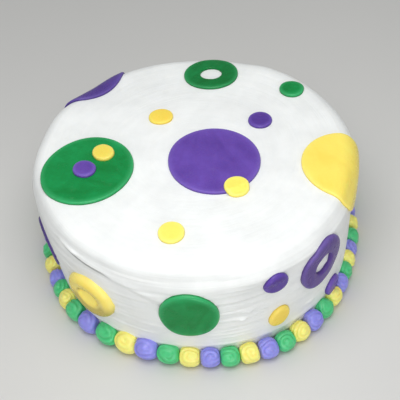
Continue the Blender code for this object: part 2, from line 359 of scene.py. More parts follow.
def plateau(value, rise, fall):
    """Rises smoothly from 0 to 1 over one range, and falls back over another."""
    return smooth_step(*rise, value) * (1 - smooth_step(*fall, value))


def angle_between(around, middle):
    """The shorter way round from one angle to another."""
    return (around - middle + math.pi) % (2 * math.pi) - math.pi


def hill(around, middle_degrees, width_degrees):
    """A smooth hill round one angle."""
    return bell(np.degrees(angle_between(around, math.radians(middle_degrees))) / width_degrees)


def hills(around, table):
    """The sum of several hills: each row has an angle, a half width and a height."""
    return sum(height * hill(around, middle, width) for middle, width, height in table)


def make_waves(seed, count, sizes):
    """Random directions, lengths and starts of waves."""
    random = np.random.default_rng(seed)
    directions = random.normal(size=(count, 3))
    directions /= np.linalg.norm(directions, axis=1)[:, None]
    lengths = random.uniform(*sizes, size=count)
    return directions * (2 * math.pi / lengths)[:, None], random.uniform(0, 2 * math.pi, count)


def wavy(points, waves):
    """Sums waves that run through space, so that they have no seam."""
    turns, starts = waves
    return np.sin(points @ turns.T + starts).sum(-1) / math.sqrt(len(starts))


def make_strokes(seed, count, shortest, longest):
    """Random strokes: their spacing along the icing, turns round the cake and starts."""
    random = np.random.default_rng(seed)
    spacing = random.uniform(shortest, longest, count)
    turns = random.integers(-3, 4, count)
    return 2 * math.pi / spacing, turns, random.uniform(0, 2 * math.pi, count)


def stroked(along, around, strokes):
    """Low ridges that run round the cake and drift slowly up or down."""
    pace, turns, starts = strokes
    phase = along[..., None] * pace + around[..., None] * turns + starts
    return np.sin(phase).sum(-1) / math.sqrt(len(starts))


HAND_WAVES = make_waves(3, 14, WAVE_SIZES)
PATCHES = make_waves(8, 10, (40 * MM, 80 * MM))
STROKES = make_strokes(5, 16, 3.2 * MM, 11 * MM)

print("waves from the hand:", len(HAND_WAVES[1]), "and strokes of the blade:", len(STROKES[2]))

# %% [markdown]
# ## The lip at the left front
#
# Icing that was pushed over the shoulder hangs there as a flap.  It thickens towards its edge
# and drops to the side in a crisp step, which softens and fades out towards the front.

# %% The lip
LIP_EDGE = [  # angle, distance of the edge from the top's middle (mm)
    (-62, 112), (-49, 115.5), (-46, 116.6), (-42, 117.5), (-38, 118), (-34, 118.5), (-30, 120.4),
    (-26, 121.6), (-22, 123), (-18, 125.8), (-14, 128.5), (-6, 133), (4, 136),
]
LIP_BEGINS = (-58, -49)     # it grows between these angles
LIP_SOFTENS = (-36, -13)    # its step turns from crisp to soft
LIP_ENDS = (-20, 2)         # and it fades away
LIP_STEP = 1.4 * MM
LIP_THICKER = 0.45          # share of the step by which the edge swells
LIP_HOLLOW = 0.5            # and by which the side lies back below it
LIP_SWELL = 5 * MM
LIP_REACH = 9 * MM
CREASE_CUT = 0.7            # share of the step that the crisp part is cut under


def lip_edge(around):
    """How far along the icing the lip's edge lies, at each angle."""
    return np.interp(np.degrees(around), *zip(*LIP_EDGE)) * MM


def lip(along, around):
    """The flap at the left front: it thickens towards its edge, then drops back to the side."""
    degrees = np.degrees(around)
    strength = plateau(degrees, LIP_BEGINS, LIP_ENDS)
    softer = smooth_step(*LIP_SOFTENS, degrees)
    drop = (0.6 + 6 * softer) * MM
    past = along - lip_edge(around)
    thicker = LIP_THICKER * smooth_step(-LIP_SWELL, 0, past)
    hollow = LIP_HOLLOW * np.exp(-np.maximum(past, 0) / LIP_REACH)
    crease = CREASE_CUT * (1 - softer) * (1 - smooth_step(0.6 * MM, 2.2 * MM, past))
    fallen = smooth_step(0, drop, past)
    return LIP_STEP * strength * (thicker * (1 - fallen) - (hollow + crease) * fallen)


print("the lip runs over", LIP_EDGE[-1][0] - LIP_EDGE[0][0], "degrees")

# %% [markdown]
# ## The slack shoulder
#
# In front the soft icing has sunk, so that the shoulder turns over more slowly than the blade's
# own arc.  A few angles say how deep and how far down, and what lies between them is joined
# smoothly.  Where the depth is 0, the shoulder keeps its arc.

# %% The slack
SLACK = [  # angle, distance of its middle from the top's middle, depth, reach below the middle (mm)
    (-88, 110.0, 0.0, 8.0),
    (-66, 110.5, 2.0, 10.0),
    (-50, 112.0, 2.6, 13.0),
    (-34, 112.5, 2.7, 14.0),
    (-20, 112.5, 2.7, 11.0),
    (-8, 112.0, 2.9, 7.5),
    (3, 111.5, 2.9, 7.0),
    (9, 113.0, 2.2, 6.0),
    (17, 114.0, 0.2, 5.0),
    (34, 111.0, 0.6, 6.0),
    (50, 111.0, 1.9, 7.0),
    (64, 110.5, 1.9, 7.0),
    (84, 110.0, 0.0, 6.0),
]
SLACK_ABOVE = 6 * MM


def between(degrees, knots, values):
    """Values known at some angles, with a smooth passage from each to the next."""
    knots, values = np.asarray(knots, float), np.asarray(values, float)
    before = np.clip(np.searchsorted(knots, degrees, side="right") - 1, 0, len(knots) - 2)
    share = smooth_step(0, 1, (degrees - knots[before]) / (knots[before + 1] - knots[before]))
    return values[before] + (values[before + 1] - values[before]) * share


def slack(along, around):
    """Where the shoulder has sagged in front, so that it turns over more slowly."""
    knots, *columns = zip(*SLACK)
    place, depth, below = (between(np.degrees(around), knots, column) * MM for column in columns)
    reach = np.where(along < place, SLACK_ABOVE, below)
    return depth * bell((along - place) / reach)


print("the shoulder has sunk by up to", max(row[2] for row in SLACK), "mm")

# %% [markdown]
# ## Dabs, bulges and dents
#
# The blade missed a few dabs on the side.  Its turn round the edge of the top came out a little
# uneven as well, full in some places and dented in others, and the side leans in further where
# the blade was pressed harder.  Short tables keep where each of these lies, and how high it is.

# %% Dabs and edges
DABS = [  # angle, height above the foot (mm), half length and half width (mm), thickness (mm)
    (-47.0, 75.6, 4.5, 0.9, 0.8),
    (31.5, 52.0, 6.0, 3.0, -0.7),
    (-33.0, 30.0, 9.0, 2.5, -0.5),
    (13.8, 46.0, 3.4, 0.9, 1.3),
    (11.6, 40.0, 3.4, 0.9, 1.3),
    (38.5, 24.0, 3.0, 1.5, 0.9),
    (31.0, 47.0, 7.0, 1.2, 0.35),
    (20.0, 44.0, 9.0, 1.0, 0.35),
    (17.0, 38.0, 12.0, 0.9, 0.3),
    (-18.0, 34.0, 9.0, 1.2, 0.4),
    (-22.0, 26.0, 7.0, 1.0, 0.35),
    (8.0, 22.0, 12.0, 1.1, 0.3),
    (100.0, 55.0, 7.0, 1.6, 0.5),
    (-150.0, 40.0, 8.0, 1.5, 0.5),
    (160.0, 22.0, 6.0, 1.4, 0.5),
]


def dabs(height, around):
    """Small smears of icing that the blade missed on the side."""
    total = np.zeros_like(height)
    for degrees, middle, length, width, thickness in DABS:
        across = angle_between(around, math.radians(degrees)) * CROWN_RADIUS / (length * MM)
        total += thickness * MM * bell(across) * bell((height - middle * MM) / (width * MM))
    return total


EDGE_SHAPE = [  # angle, how far the edge of the top stands out (mm)
    (-180, -0.4), (-172, 0.1), (-160, 0.2), (-154, 0.0), (-150, -0.8), (-147, -1.1), (-142, -2.5),
    (-136, -2.3), (-130, -0.8), (-125, 0.5), (-120, 0.7), (-114, -0.3), (-108, -1.3), (-98, -1.3),
    (-89, -0.6), (-80, -0.3), (-70, 0), (60, 0), (84, 0.1), (91, 1.2), (96, 1.0), (103, 1.4), (109, 1.6),
    (115, 1.8), (124, 2.3), (134, 2.7), (147, 2.8), (152, 1.2), (160, 0.6), (170, 0.1), (180, -0.4),
]
EDGE_REACH = 26 * MM
FULL = [  # angle, half width, distance from the top's middle, reach, how much fuller (mm)
    (17.5, 9, 118, 5.5, 1.4),
    (32, 10, 115, 6.5, 0.6),
]
SIDE_IN = [(72, 15, 2.4), (-76, 13, 0.9)]      # angle, half width, how much further in (mm)
FOOT_IN = [(-66, 21, 1.8), (98, 16, 1.8)]      # the same, for the foot alone
FOOT_IN_HEIGHTS = (16 * MM, 58 * MM)           # up to the first in full, above the second not at all


def edge_shape(around):
    """How far the shoulder bulges or is dented, all round the cake."""
    degrees = np.degrees(around)
    shifts = (-3, -1, 1, 3)
    shape = sum(np.interp(degrees + shift, *zip(*EDGE_SHAPE), period=360) for shift in shifts)
    return shape / len(shifts) * MM


print("the edge of the top stands out by up to", max(row[1] for row in EDGE_SHAPE), "mm")

# %% [markdown]
# ## The relief as a whole
#
# All of these are added up.  The gentle part is kept on its own, because a rolled sheet follows
# it and bridges the finer strokes.  All but the lean of the side fades out towards the foot,
# where the icing ends in a clean round.

# %% The relief
def broad_relief(along, around):
    """The gentle part of the relief, which the spots follow too."""
    flat, _ = outline(along)
    height = flat[..., 1]
    on_side = smooth_step(SHOULDER_RADIUS - 4 * MM, SHOULDER_RADIUS + SHOULDER_LENGTH, along)
    total = WAVE_HEIGHT * (0.45 + 0.55 * on_side) * wavy(turn(flat, around), HAND_WAVES)
    total += edge_shape(around) * bell((along - SHOULDER_RADIUS - SHOULDER) / EDGE_REACH)
    for angle, width, place, reach, fuller in FULL:
        total += fuller * MM * bell((along - place * MM) / (reach * MM)) * hill(around, angle, width)
    total -= slack(along, around)
    inwards = hills(around, FOOT_IN) * (1 - smooth_step(*FOOT_IN_HEIGHTS, height))
    inwards += hills(around, SIDE_IN) * on_side
    return total * smooth_step(0, 10 * MM, height) - inwards * MM


def relief(along, around):
    """How far the icing stands out, or lies back, at a place on it."""
    flat, _ = outline(along)
    height = flat[..., 1]
    on_side = smooth_step(SHOULDER_RADIUS + 10 * MM, SHOULDER_RADIUS + SHOULDER_LENGTH + 8 * MM, along)
    patchy = 0.6 + 0.4 * wavy(turn(flat, around), PATCHES)
    strokes = STROKE_HEIGHT * patchy * (0.15 + 0.85 * on_side) * stroked(along, around, STROKES)
    strokes *= smooth_step(10 * MM, 40 * MM, along)
    detail = (strokes + dabs(height, around) + lip(along, around)) * smooth_step(0, 8 * MM, height)
    return broad_relief(along, around) + detail


half_way = np.array([along_at_height(HEIGHT / 2)] * 4)
quarters = np.radians((0, 90, 180, 270))
print("relief half way up, in mm:", [round(value, 2) for value in relief(half_way, quarters) / MM])

# %% [markdown]
# ## The iced cake
#
# A layer cake is filled, stacked and covered with buttercream, and the blade rounds it off.
# The steps that every piece of it needs come first: choosing faces or edges by their place,
# starting a cylinder, rounding an edge, closing a round face, and moving the points of a mesh.

# %% Helpers for modelling
CLOSE = 0.01 * MM           # points nearer than this lie at the same height
LEVEL = 0.9999              # a face lies flat where its normal points up or down by more than this


def select_faces(piece, wanted):
    """In edit mode, selects the faces for which wanted(middle, normal) is true."""
    bpy.ops.mesh.select_mode(type="FACE")
    bpy.ops.mesh.select_all(action="DESELECT")
    shape = bmesh.from_edit_mesh(piece.data)
    for face in shape.faces:
        if wanted(face.calc_center_median(), face.normal):
            face.select_set(True)
    shape.select_flush_mode()
    bmesh.update_edit_mesh(piece.data)


def select_edges(piece, wanted):
    """In edit mode, selects the edges for which wanted(first end, second end) is true."""
    bpy.ops.mesh.select_mode(type="EDGE")
    bpy.ops.mesh.select_all(action="DESELECT")
    shape = bmesh.from_edit_mesh(piece.data)
    for edge in shape.edges:
        if wanted(edge.verts[0].co, edge.verts[1].co):
            edge.select_set(True)
    bmesh.update_edit_mesh(piece.data)


def add_cylinder(name, radius, low, high, sides):
    """A closed cylinder on the Z axis, left in edit mode."""
    bpy.ops.object.select_all(action="DESELECT")
    bpy.ops.mesh.primitive_cylinder_add(
        vertices=sides, radius=radius, depth=high - low, location=(0, 0, (low + high) / 2)
    )
    piece = bpy.context.object
    piece.name = name
    piece.data.name = name
    bpy.ops.object.transform_apply(location=True, rotation=False, scale=False)
    bpy.ops.object.mode_set(mode="EDIT")
    return piece


def round_edges(offset, segments):
    """Bevels the selected edges into a round."""
    bpy.ops.mesh.bevel(offset=offset, segments=segments, profile=0.5, affect="EDGES")


def inset_to_middle(step, rows):
    """Insets the selected round face row by row, and closes it at its middle."""
    for _ in range(rows):
        bpy.ops.mesh.inset(thickness=step, depth=0)
    bpy.ops.mesh.merge(type="CENTER")


def get_points(piece):
    """A piece's vertices as an array."""
    points = np.empty(len(piece.data.vertices) * 3, np.float32)
    piece.data.vertices.foreach_get("co", points)
    return points.reshape(-1, 3).astype(float)


def set_points(piece, points):
    """Moves a piece's vertices."""
    piece.data.vertices.foreach_set("co", points.astype(np.float32).ravel())
    piece.data.update()


def keep_value(piece, name, values):
    """Keeps one number for each vertex, for a material to read."""
    mark = piece.data.attributes.new(name, "FLOAT", "POINT")
    mark.data.foreach_set("value", values.astype(np.float32))


def shade(piece):
    """Shades a piece smoothly, except across its cut edges."""
    bpy.ops.object.select_all(action="DESELECT")
    piece.select_set(True)
    bpy.context.view_layer.objects.active = piece
    bpy.ops.object.shade_smooth_by_angle(angle=math.radians(50))


print("helpers for modelling are ready")

# %% [markdown]
# ## The blank
#
# A cylinder stands for the iced blank.  Its top is scaled to the lean of the side, its upper rim
# is bevelled into the shoulder, and cuts and insets give it rows fine enough to carry the
# relief.  Turning a drawn section would do as well, but this way follows the hand's order.

# %% Model the blank
ICING_SIDES = 384
TOP_ROWS = 40
SHOULDER_ROWS = 24
SIDE_ROWS = 128
UNDER_ROWS = 6


def icing_blank():
    """A cylinder with a leaning side and a rounded shoulder, in fine rows."""
    piece = add_cylinder("icing", FOOT_RADIUS, 0, HEIGHT, ICING_SIDES)
    corner = FOOT_RADIUS + (SIDE_TOP[0] - FOOT_RADIUS) * HEIGHT / SIDE_TOP[1]
    widen = corner / FOOT_RADIUS
    select_faces(piece, lambda middle, normal: normal.z > LEVEL)
    bpy.ops.transform.resize(value=(widen, widen, 1))
    select_edges(piece, lambda a, b: min(a.z, b.z) > HEIGHT - CLOSE)
    round_edges(SHOULDER * math.tan((math.pi / 2 - SIDE_ANGLE) / 2), SHOULDER_ROWS)
    select_edges(piece, lambda a, b: abs(a.z - b.z) > SHOULDER_HEIGHT * 0.9)
    bpy.ops.mesh.subdivide(number_cuts=SIDE_ROWS - 1)
    select_faces(piece, lambda middle, normal: normal.z > LEVEL and middle.xy.length < SHOULDER)
    inset_to_middle(SHOULDER_RADIUS / (TOP_ROWS + 1), TOP_ROWS)
    select_faces(piece, lambda middle, normal: normal.z < -LEVEL)
    inset_to_middle(FOOT_RADIUS / (UNDER_ROWS + 1), UNDER_ROWS)
    bpy.ops.object.mode_set(mode="OBJECT")
    return piece


icing = icing_blank()
print("rows make", len(icing.data.polygons), "faces")

# %% [markdown]
# ## Moving the blank to where the hand left it
#
# Each point is read as a place along and round the icing, and set down again at its height in
# the relief.  A step as crisp as the lip would cut across the rows and look like a staircase,
# so the rows near it are first slid until one of them runs along its edge.

# %% Give it its relief
def place_on_icing(along, around, lift):
    """Points at a height over the icing, after it has settled."""
    flat, normal = outline(along)
    return settle(turn(flat + normal * lift[..., None], around))


side_length = along_at_height(0) - SHOULDER_RADIUS - SHOULDER_LENGTH
LIP_ROW = SHOULDER_RADIUS + SHOULDER_LENGTH + 6 * side_length / SIDE_ROWS    # the row that is slid
ROWS_BEND = (-68, -52)
ROWS_STRAIGHTEN = (-6, 12)


def rows_along_lip(along, around):
    """Slides the rows of points on the side so that one of them runs along the lip's edge."""
    near = plateau(np.degrees(around), ROWS_BEND, ROWS_STRAIGHTEN)
    edge = LIP_ROW + near * (lip_edge(around) - LIP_ROW)
    foot = along_at_height(0)
    stretch = (edge - SHOULDER_RADIUS) / (LIP_ROW - SHOULDER_RADIUS)
    upper = SHOULDER_RADIUS + (along - SHOULDER_RADIUS) * stretch
    lower = foot - (foot - along) * (foot - edge) / (foot - LIP_ROW)
    moved = np.where(along < LIP_ROW, upper, lower)
    return np.where(along > SHOULDER_RADIUS, moved, along)


# the angles over which shade is painted into the crease under the lip
CREASE_SHADE_BEGINS = (-54, -49)
CREASE_SHADE_ENDS = (-39, -27)


def crease_shade_mark(along, around):
    """How much painted shade a point gets in the crease under the lip, from 0 to 1."""
    past = along - lip_edge(around)
    crisp = plateau(np.degrees(around), CREASE_SHADE_BEGINS, CREASE_SHADE_ENDS)
    return crisp * plateau(past, (0, 0.4 * MM), (2.0 * MM, 3.4 * MM))


def shape_icing(piece):
    """Moves each vertex of the blank to where the hand left it."""
    points = get_points(piece)
    under = points[:, 2] < CLOSE
    along, around = on_icing(points)
    along = rows_along_lip(along, around)
    raised = place_on_icing(along, around, relief(along, around))
    raised[under] = points[under]
    raised[:, 2] = np.maximum(raised[:, 2], 0)
    set_points(piece, raised)
    # this mark carries the painted shade in the crease under the lip
    keep_value(piece, "crease", crease_shade_mark(along, around))
    shade(piece)


shape_icing(icing)
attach(icing, "root")
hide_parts("iced_cake")
print("icing spans", [round(value / MM, 1) for value in icing.dimensions])

# %% [markdown]
# ## Strokes of the blade, for the material
#
# Under the big shapes lie hair-fine marks of the blade, which run round the cake.  A point's
# angle round the cake and its way down the icing are worked out from its place, so that one
# noise, stretched along the angle, gives strokes on the side and on the top alike.

# %% Strokes as a shared group
def strokes_group():
    """Noise that is drawn out round the cake."""
    inputs = {"Place": "Vector", "Spacing": "Float", "Length": "Float", "Detail": "Float"}
    group, start, end = start_group("blade_strokes", inputs, {"Strokes": "Float"})
    split = add_node(group, "SeparateXYZ", {"Vector": start["Place"]}).outputs
    flat = add_node(group, "CombineXYZ", {"X": split["X"], "Y": split["Y"]}).outputs[0]
    drawn = scaled(group, vectors(group, "NORMALIZE", flat), start["Length"])
    down = maths(group, "SUBTRACT", vectors(group, "LENGTH", flat, out="Value"), split["Z"])
    rows = maths(group, "MULTIPLY", down, start["Spacing"])
    lift = add_node(group, "CombineXYZ", {"Z": rows}).outputs[0]
    place = vectors(group, "ADD", drawn, lift)
    group.links.new(noise(group, place, 1.0, start["Detail"], 0.6), end["Strokes"])
    return group


BLADE_STROKES = strokes_group()


def strokes_of(tree, place, spacing, length, detail):
    """The shared strokes at a place, with a spacing and a length of their own."""
    inputs = {"Place": place, "Spacing": spacing, "Length": length, "Detail": detail}
    return add_node(tree, "Group", inputs, node_tree=BLADE_STROKES).outputs["Strokes"]


print("shared group:", BLADE_STROKES.name)

# %% [markdown]
# ## Buttercream
#
# Buttercream is nearly white and has a soft sheen.  Its tone is slightly cloudy, because the
# air beaten into it isn't even, and shade is painted darker into the crease under the lip.  A
# little light goes into it and comes out again beside, which softens every edge.

# %% The icing's material
ICING_DEEP = (0.845, 0.868, 0.862)
ICING_LIGHT = (0.915, 0.925, 0.918)
CLOUDINESS = 0.92           # the deepest clouds have this share of the tone
CREASE_SHADE = 0.58         # and this share is lost to painted shade in the crease under the lip


def buttercream():
    """White icing: blade strokes in its sheen and surface, a faint unevenness of tone, and painted shade in
    the crease under the lip.
    """
    material, tree, shader, place = new_material("buttercream")
    fine = strokes_of(tree, place, 900.0, 2.2, 4.0)
    coarse = strokes_of(tree, place, 210.0, 1.3, 2.0)
    cloudy = spread(tree, noise(tree, place, 36.0, 5.0, 0.62), 0.36, 0.62, CLOUDINESS)
    # painted shade in the crease under the lip, over the cloudy tone
    dim = maths(tree, "MULTIPLY_ADD", kept(tree, "crease"), -CREASE_SHADE, cloudy)
    surface = bumped(tree, fine, 0.35, 0.35 * MM)
    surface = bumped(tree, coarse, 0.4, 0.9 * MM, surface)
    surface = bumped(tree, noise(tree, place, 900.0, 3.0), 0.25, 0.12 * MM, surface)
    connect(tree, shader, {
        "Base Color": scaled(tree, mixed(tree, coarse, ICING_DEEP, ICING_LIGHT), dim),
        "Roughness": spread(tree, fine, 0.0, 1.0, 0.38, 0.58),
        "Normal": surface,
        "Subsurface Weight": 0.15,
        "Subsurface Radius": (1.0, 0.95, 0.85),
        "Subsurface Scale": 1.2 * MM,
        "Specular IOR Level": 0.45,
    })
    return material


dress(icing, buttercream())
print("icing finish:", icing.data.materials[0].name)

# %% [markdown]
# ## The sheet and the cutters
#
# Fondant is a sugar dough that is rolled flat and cut with round cutters in three sizes.  On
# the side it was left a little thicker, and its rim is rounder there.

# %% Sizes of the sheet and of the cutters
SHEET = 2.2 * MM
SIDE_SHEET = 2.9 * MM
THICK_SHEET = 3.0 * MM
LARGE = 30.5 * MM
MEDIUM = 19 * MM
SMALL = 8 * MM
RIM_ROUND = 1.25 * MM
SIDE_RIM_ROUND = 1.9 * MM
HOLE_ROUND = 0.7            # a hole's rim is rounded by this share of the outer rim's round
RIM_ROWS = 5
HOLE_ROWS = 4
HOOP = 3 * MM               # a spot's faces are split into hoops about this wide
RING_CUTS = 4               # and a ring's into one more hoop than this
CROWN = 0.35 * MM           # a dot is this much thicker in its middle
PRESS = 0.25 * MM           # a spot is pressed this far into the icing
print("cutters in mm:", [round(radius / MM, 1) for radius in (LARGE, MEDIUM, SMALL)])

# %% [markdown]
# ## Cutting the spots
#
# The cutter leaves a straight wall, and the upper rim slumps into a small round.  Each spot
# starts as a thin cylinder: its rim is bevelled, its faces are inset so that it can bend, and a
# ring gets its hole by bridging the two inner outlines.

# %% The cuts
def rim_at(radius, height):
    """A test for edges that run round a circle at a height."""
    def test(a, b):
        """True where both ends of an edge lie on the circle."""
        level = abs(a.z - height) < CLOSE and abs(b.z - height) < CLOSE
        return level and all(abs(end.xy.length - radius) < 2 * CLOSE for end in (a, b))
    return test


def sides_for(radius):
    """Enough corners for a smooth outline."""
    return 4 * round(math.sqrt(radius / MM) * 5)


def cut_disc(name, radius, thickness=SHEET, rounding=RIM_ROUND, sides=0, hoops=0):
    """A cut disc with a rounded upper rim."""
    hoops = hoops or round(radius / HOOP)
    piece = add_cylinder(name, radius, 0, thickness, sides or sides_for(radius))
    select_edges(piece, rim_at(radius, thickness))
    round_edges(rounding, RIM_ROWS)
    select_faces(piece, lambda middle, normal: normal.z > LEVEL)
    inset_to_middle((radius - rounding) / (hoops + 1), hoops)
    select_faces(piece, lambda middle, normal: normal.z < -LEVEL)
    inset_to_middle(radius / (hoops + 1), hoops)
    bpy.ops.object.mode_set(mode="OBJECT")
    return piece


def cut_ring(name, radius, hole, thickness, rounding):
    """A cut ring: the two inner outlines are opened and bridged."""
    piece = add_cylinder(name, radius, 0, thickness, sides_for(MEDIUM))
    select_faces(piece, lambda middle, normal: abs(normal.z) > LEVEL)
    bpy.ops.mesh.inset(thickness=radius - hole, depth=0, use_individual=True)
    bpy.ops.mesh.bridge_edge_loops()
    select_edges(piece, rim_at(radius, thickness))
    round_edges(rounding, RIM_ROWS)
    select_edges(piece, rim_at(hole, thickness))
    round_edges(rounding * HOLE_ROUND, HOLE_ROWS)
    long_edge = (radius - hole) * 0.6
    select_edges(piece, lambda a, b: (a.xy - b.xy).length > long_edge and abs(a.z - b.z) < CLOSE)
    bpy.ops.mesh.subdivide(number_cuts=RING_CUTS)
    bpy.ops.object.mode_set(mode="OBJECT")
    return piece


def cut_plain(name, radius, thickness, sides, hoops):
    """A disc in even hoops, to be pressed into another shape."""
    piece = add_cylinder(name, radius, 0, thickness, sides)
    for side in (1, -1):
        select_faces(piece, lambda middle, normal: normal.z * side > LEVEL)
        inset_to_middle(radius / (hoops + 1), hoops)
    bpy.ops.object.mode_set(mode="OBJECT")
    return piece


print("a large cut has", sides_for(LARGE), "corners and a small one", sides_for(SMALL))

# %% [markdown]
# ## An uneven outline
#
# No cut circle stays a perfect one: lifting it makes its outline waver, drags it longer one way
# and pulls a corner out here and there.  The flat shape is kept first, as a UV map, so that
# marks in the sheet stay in the sheet, and with it where its rim and its wall are.

# %% Outline and flat shape
def waver(points, seed, amount, stretch=(0.0, 0.0), pulls=()):
    """Turns a true circle into a hand-moved one: slow waves, a stretch one way, and pulled corners."""
    random = np.random.default_rng(seed)
    angle = np.arctan2(points[:, 1], points[:, 0])
    change = np.zeros(len(points))
    for lobes in range(2, 8):
        change += random.normal() * np.cos(lobes * angle + random.uniform(0, 2 * math.pi)) / lobes
    share, direction = stretch
    change = amount * change + share * np.cos(2 * (angle - math.radians(direction)))
    from_middle = np.clip(round_axis(points)[0] / MEDIUM, 0, 1)
    for towards, width, pull in pulls:
        change += pull * from_middle * hill(angle, towards, width)
    moved = points.copy()
    moved[:, :2] *= (1 + change)[:, None]
    return moved


def keep_flat_shape(piece, radius):
    """Keeps the flat shape as a UV map, and marks the rounded rim and the cut wall, for a painted highlight
    on the rim and painted shade on the wall.
    """
    points = get_points(piece)
    sheet = piece.data.uv_layers.new(name="sheet")
    corners = np.empty(len(piece.data.loops), np.int32)
    piece.data.loops.foreach_get("vertex_index", corners)
    flat = points[corners, :2] / (2 * LARGE) + 0.5
    sheet.data.foreach_set("uv", flat.astype(np.float32).ravel())
    away, _ = round_axis(points)
    wall = 1 - smooth_step(0.5 * MM, 1.5 * MM, points[:, 2])
    thick = points[:, 2].max()
    near_rim = smooth_step(radius - 1.1 * thick, radius - 0.2 * thick, away)
    keep_value(piece, "rim", near_rim * (1 - wall))
    keep_value(piece, "wall", wall)


compass = np.array([(1.0, 0, 0), (0, 1, 0), (-1, 0, 0), (0, -1, 0)])
print("a round outline becomes", waver(compass, 1, 0.012).round(3)[:, :2].tolist())

# %% [markdown]
# ## Laying a spot on the cake
#
# A soft spot can be draped without stretching: each of its points is reached by walking
# straight over the icing, away from the spot's middle, for as far as the point lay from the
# middle of the flat sheet.  That carries a disc over the shoulder just as the hand folds it.

# %% How a spot is laid
STRIDE = 1.5 * MM


def walk_over_icing(flat_points, along, around):
    """Where the points of a flat sheet come to lie: how far along and round the icing."""
    middle, facing = outline(np.array(along))
    place = np.tile(turn(middle, around), (len(flat_points), 1))
    normal = np.tile(turn(facing, around), (len(flat_points), 1))
    right = np.array((math.cos(around), math.sin(around), 0))
    heading = flat_points[:, :1] * right + flat_points[:, 1:2] * np.cross(normal[0], right)
    distance = np.linalg.norm(heading, axis=1)
    heading /= np.maximum(distance, 1e-9)[:, None]
    strides = max(1, math.ceil(distance.max() / STRIDE))
    for _ in range(strides):
        here = on_icing(place + heading * (distance / strides)[:, None])
        flat, facing = outline(here[0])
        place = turn(flat, here[1])
        normal = turn(facing, here[1])
        heading -= (heading * normal).sum(1)[:, None] * normal
        heading /= np.maximum(np.linalg.norm(heading, axis=1), 1e-9)[:, None]
    return on_icing(place)


def drape(piece, points, along, around_degrees, lift):
    """Carries the points of a flat sheet over to the icing, at a lift above it."""
    along_there, around_there = walk_over_icing(points, along, math.radians(around_degrees))
    if callable(lift):
        lift = lift(along_there, around_there)
    height = points[:, 2] + lift - PRESS + broad_relief(along_there, around_there)
    set_points(piece, place_on_icing(along_there, around_there, height))
    shade(piece)
    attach(piece, "root")


def lay_spot(piece, radius, along, around_degrees, lift, seed, *waver_settings, bend=None):
    """Gives a flat spot its unevenness and lays it on the icing."""
    keep_flat_shape(piece, radius)
    points = get_points(piece)
    if radius < 1.2 * SMALL:
        share = np.clip(1 - (round_axis(points)[0] / radius) ** 2, 0, 1)
        points[:, 2] += CROWN * share * (points[:, 2] > SHEET / 2)
    if bend:
        points = bend(points)
    drape(piece, waver(points, seed, *waver_settings), along, around_degrees, lift)


print("a spot is laid in strides of", round(STRIDE / MM, 1), "mm")

# %% [markdown]
# ## Every spot in its place
#
# Three round cutters serve for every spot, and a cut is a little larger or smaller where it has
# spread or shrunk.  The spots in front lie where the real ones do, with the same stretch and
# the same pulled corners, and the back is dressed in the same way.

# %% Lay every spot
ON_ANOTHER = SHEET - 0.1 * MM
ROUND = (0.0, 0)

# node, cutter, distance from the top's middle (mm), angle, what it lies on, waver, stretch
TOP_SPOTS = [
    ("disc_purple_top", LARGE * 1.02, 18.1, 52.6, 0, 0.004, (0.02, 50)),
    ("disc_green_top", LARGE * 1.03, 70.8, -80.7, 0, 0.004, (0.045, -44)),
    ("disc_yellow_edge", LARGE * 0.975, 102.9, 75.6, 0, 0.004, (0.04, 46)),
    ("disc_purple_edge", LARGE * 0.98, 121.7, -140.5, 0, 0.004, ROUND),
    ("dot_yellow_back", SMALL * 1.03, 42.2, -152.5, 0, 0.012, (0.035, -24)),
    ("dot_yellow_front", SMALL * 1.08, 75.3, -12.2, 0, 0.012, (0.03, 80)),
    ("dot_green_top", SMALL * 1.05, 94.0, 126.4, 0, 0.012, (0.06, 24)),
    ("dot_purple_top", SMALL * 1.04, 55.8, 117.6, 0, 0.012, ROUND),
    ("dot_purple_on_green", SMALL * 0.97, 72.4, -80.0, ON_ANOTHER, 0.015, (0.03, 20)),
    ("dot_yellow_on_green", SMALL * 0.94, 58.9, -92.3, ON_ANOTHER, 0.015, (0.03, 30)),
]
# where a spot's outline is pulled out or pressed in: direction on the spot, half width, share
GREEN_FRONT_PULLS = ((-122, 28, 0.06),)
PURPLE_SIDE_PULLS = ((-155, 20, 0.1), (62, 22, 0.06), (-40, 40, 0.06))
PURPLE_RING_PULLS = ((100, 25, -0.07), (120, 9, -0.05), (-45, 32, -0.17), (-84, 22, -0.1))
# node, cutter, height of its middle above the foot (mm), angle, lift, waver, stretch, pulls
SIDE_SPOTS = [
    ("disc_green_front", MEDIUM * 1.02, 49.7, -5.4, 0, 0.002, (0.035, 80), GREEN_FRONT_PULLS),
    ("disc_purple_left", MEDIUM * 0.94, 46.0, -71.0, -1.1 * MM, 0.006, ROUND, ()),
    ("disc_green_rear", MEDIUM, 46.0, 118.0, 0, 0.006, ROUND, ()),
    ("disc_yellow_rear", MEDIUM, 52.0, 178.0, 0, 0.006, ROUND, ()),
    ("dot_purple_side", SMALL * 1.07, 65.9, 23.4, 0, 0.01, (0.03, -62), PURPLE_SIDE_PULLS),
    ("dot_yellow_side", SMALL * 0.97, 30.2, 24.5, 0, 0.01, (0.12, 60), ((62, 20, 0.08),)),
    ("dot_purple_low", SMALL * 0.96, 17.9, 51.0, 0, 0.015, ROUND, ()),
    ("dot_green_right", SMALL, 24.0, 94.0, 0, 0.015, (0.02, 30), ()),
    ("dot_yellow_rear", SMALL, 68.0, 136.0, 0, 0.015, (0.03, 110), ()),
    ("dot_purple_rear", SMALL, 28.0, -166.0, 0, 0.015, (0.02, 70), ()),
    ("dot_yellow_left", SMALL, 26.0, -128.0, 0, 0.015, (0.03, 10), ()),
    ("dot_green_rear", SMALL, 64.0, -164.0, 0, 0.015, (0.02, 150), ()),
]
